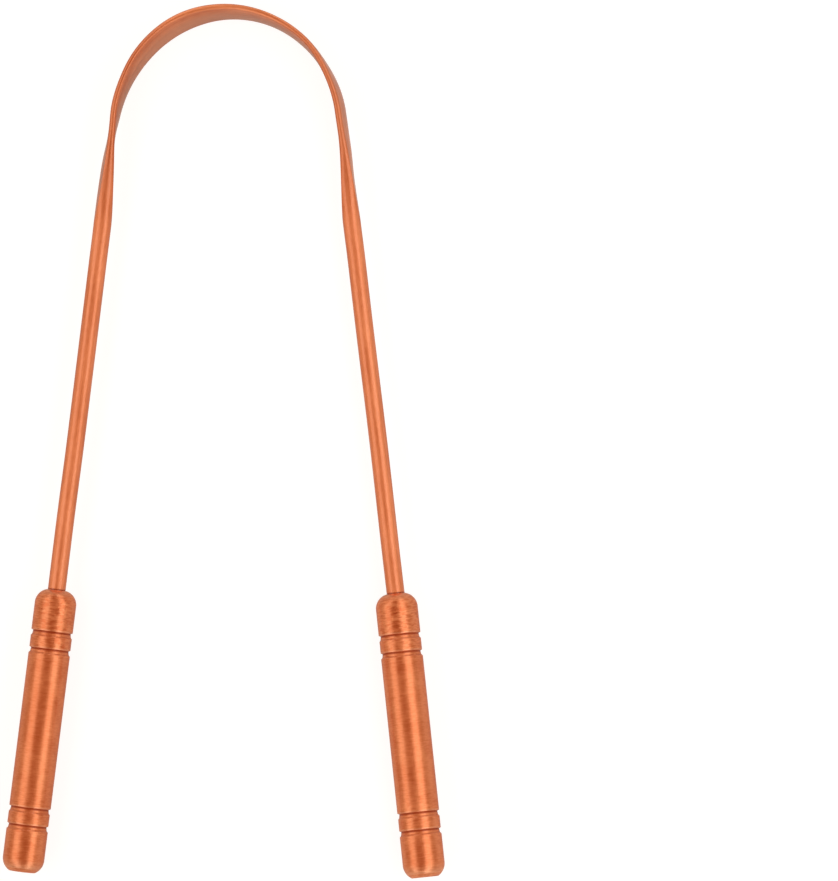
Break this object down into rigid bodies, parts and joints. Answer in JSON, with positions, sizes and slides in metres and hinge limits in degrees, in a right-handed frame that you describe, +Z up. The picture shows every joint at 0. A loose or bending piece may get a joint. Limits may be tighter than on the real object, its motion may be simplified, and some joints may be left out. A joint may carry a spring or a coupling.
{
  "type": "tongue scraper",
  "caption": "U-shaped copper tongue scraper: a bent rod rolled flat on edge into a scraping band, with a turned grooved grip on each arm.",
  "frame": {"origin": "on the surface that the scraper lies on, under the middle of its outline", "axes": "+Y from the handles to the crown of the band, +Z up from the surface, +X across to the right handle"},
  "size_m": [0.0758, 0.146, 0.007],
  "materials": {
    "drawn_copper": "satin copper with fine lengthwise drawing marks",
    "turned_copper": "satin copper with fine turning marks round the axis"
  },
  "bodies": {
    "root": {"scraper_loop": "drawn_copper", "left_handle": "turned_copper", "right_handle": "turned_copper"}
  },
  "joints": []
}
